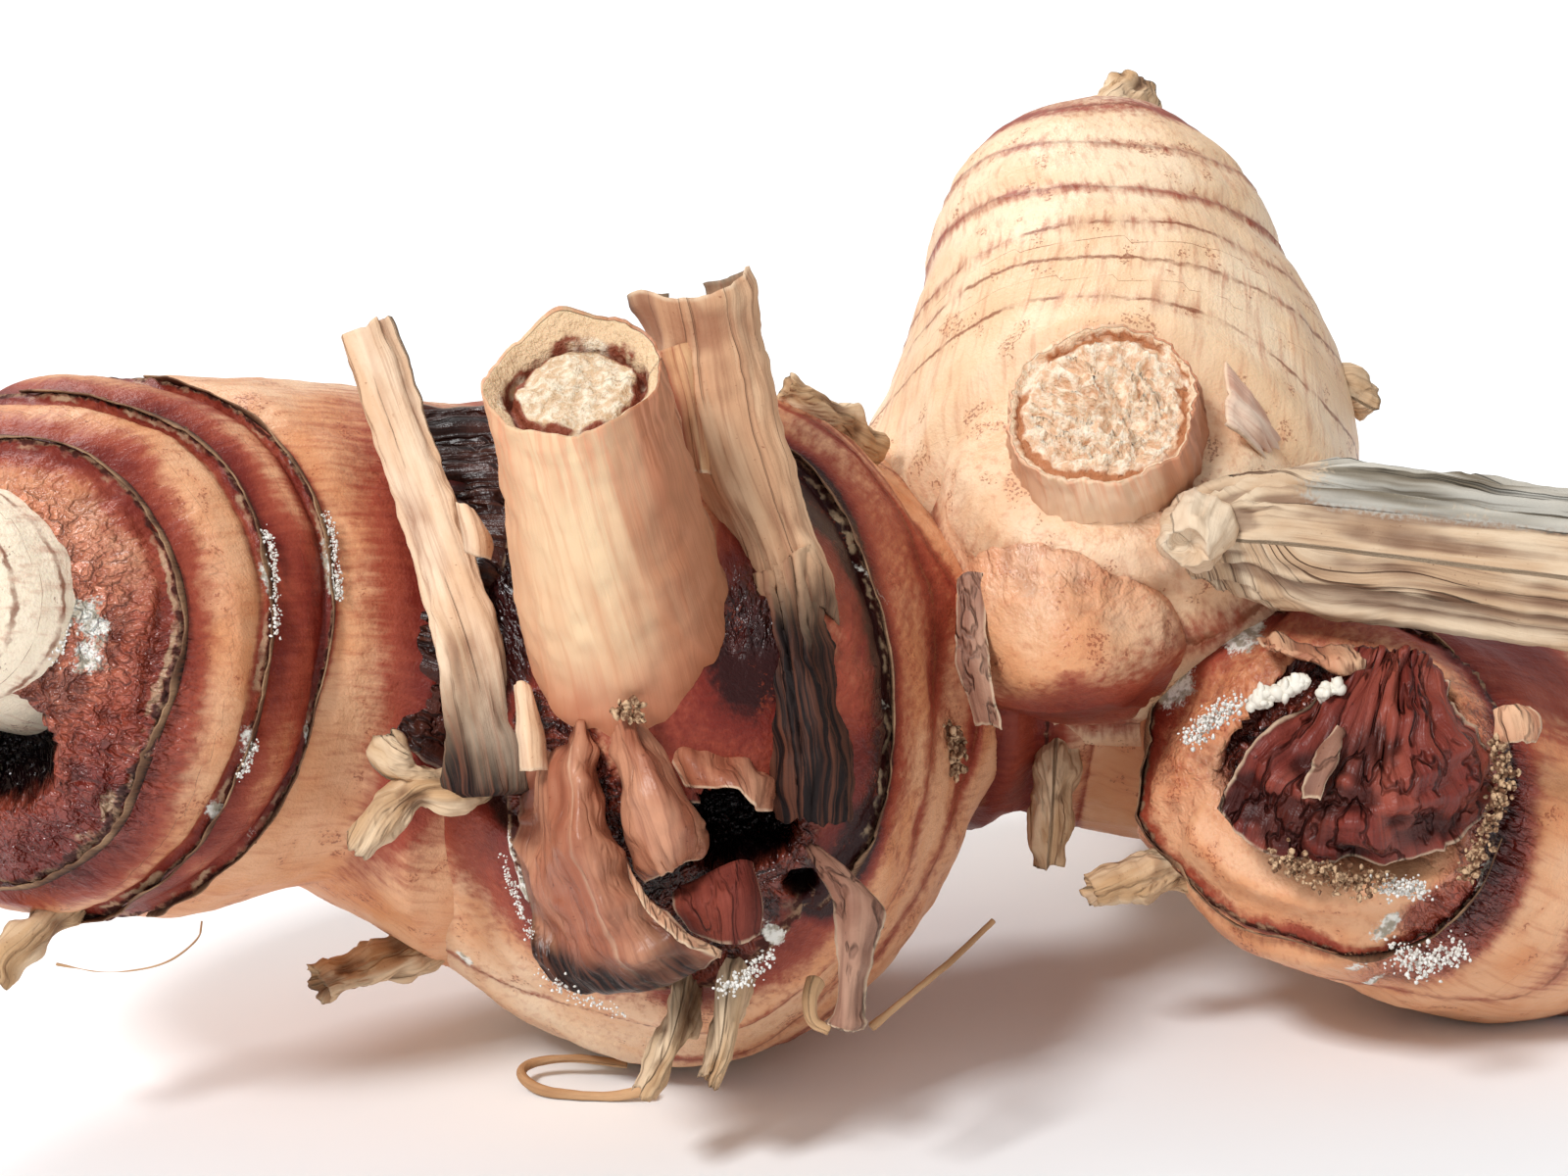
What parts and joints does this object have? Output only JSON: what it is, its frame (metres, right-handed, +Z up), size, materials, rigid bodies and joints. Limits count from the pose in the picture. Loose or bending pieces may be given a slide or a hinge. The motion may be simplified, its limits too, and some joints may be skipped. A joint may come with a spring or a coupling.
{
  "type": "galangal root",
  "caption": "Fresh galangal rhizome with a swollen hub, side lobes, ring scars, cut shoots, dry leaf sheaths, papery husk and root stubs, lying on its underside.",
  "frame": {"origin": "middle of the footprint's bounding box, on the surface that the rhizome lies on", "axes": "+Z up, +X to the right of the broken front face, +Y to the back; the broken face of the hub looks along -Y"},
  "size_m": [0.1379, 0.0878, 0.0623],
  "materials": {
    "flesh": "moist smooth tan skin with brown ring scars",
    "cut_shoot": "fresh fibrous shoot, cut across",
    "cut_shoot_pith": "rough pale pith",
    "dry_stalk": "dry ribbed stalk",
    "dry_stem": "dry striped sheath with grey mould",
    "dry_sheath": "dry fibrous leaf sheath",
    "withered_scale": "withered near-black scale",
    "papery_husk": "dry papery scale leaf"
  },
  "bodies": {
    "root": {"rhizome": "flesh", "stem_stump_front": "cut_shoot", "stem_stump_back": "cut_shoot_pith", "dry_stalk_left": "dry_stalk", "dry_stem_right": "dry_stem", "leaf_sheath_front": "dry_sheath", "leaf_sheath_back": "dry_sheath", "dark_scale_left": "withered_scale", "husk_scale_left": "papery_husk", "husk_scale_middle": "papery_husk", "husk_curl": "papery_husk", "husk_plate": "papery_husk", "husk_flap_front": "papery_husk", "scale_strip_bud": "papery_husk", "face_scale_right": "papery_husk", "ring_scale_right": "papery_husk", "ring_scale_left": "papery_husk"}
  },
  "joints": []
}
